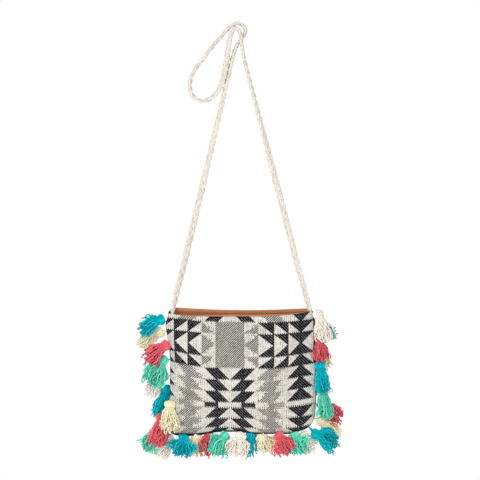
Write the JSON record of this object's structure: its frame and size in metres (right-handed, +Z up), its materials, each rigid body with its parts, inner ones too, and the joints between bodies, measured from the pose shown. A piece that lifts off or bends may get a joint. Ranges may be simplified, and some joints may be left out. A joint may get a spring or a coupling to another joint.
{
  "type": "crossbody bag",
  "caption": "Small flat pouch bag of patterned woven cotton with a tan lined open mouth, a yarn tassel trim along its seams and a long braided cotton shoulder strap.",
  "frame": {"origin": "the point under the strap where it rests on a peg or hook", "axes": "+Z up along the hanging bag, +X across the bag to the right as seen from its front, and the front faces -Y"},
  "size_m": [0.3313, 0.0478, 0.7379],
  "materials": {
    "woven_cloth": "thick woven cotton, black, grey and cream",
    "tan_facing": "smooth tan facing strip",
    "tan_lining": "tan woven lining",
    "black_tape": "black cotton tape",
    "strap_cotton": "undyed braided cotton",
    "yarn_turquoise": "cotton yarn",
    "yarn_straw": "cotton yarn",
    "yarn_coral": "cotton yarn",
    "yarn_mint": "cotton yarn",
    "yarn_cream": "cotton yarn"
  },
  "bodies": {
    "root": {"front_panel": "woven_cloth", "back_panel": "woven_cloth", "front_facing": "tan_facing", "back_facing": "tan_facing", "front_lining": "tan_lining", "back_lining": "tan_lining", "trim_tape": "black_tape", "strap": "strap_cotton", "tassel_01_turquoise": "yarn_turquoise", "tassel_02_straw": "yarn_straw", "tassel_03_coral": "yarn_coral", "tassel_04_mint": "yarn_mint", "tassel_05_cream": "yarn_cream", "tassel_06_turquoise": "yarn_turquoise", "tassel_07_straw": "yarn_straw", "tassel_08_coral": "yarn_coral", "tassel_09_mint": "yarn_mint", "tassel_10_cream": "yarn_cream", "tassel_11_turquoise": "yarn_turquoise", "tassel_12_straw": "yarn_straw", "tassel_13_coral": "yarn_coral", "tassel_14_mint": "yarn_mint", "tassel_15_cream": "yarn_cream", "tassel_16_turquoise": "yarn_turquoise", "tassel_17_straw": "yarn_straw", "tassel_18_coral": "yarn_coral", "tassel_19_mint": "yarn_mint", "tassel_20_cream": "yarn_cream", "tassel_21_turquoise": "yarn_turquoise", "tassel_22_straw": "yarn_straw", "tassel_23_coral": "yarn_coral", "tassel_24_mint": "yarn_mint", "tassel_25_cream": "yarn_cream", "tassel_26_turquoise": "yarn_turquoise", "tassel_27_straw": "yarn_straw", "tassel_28_coral": "yarn_coral", "tassel_29_mint": "yarn_mint", "tassel_30_cream": "yarn_cream"}
  },
  "joints": []
}
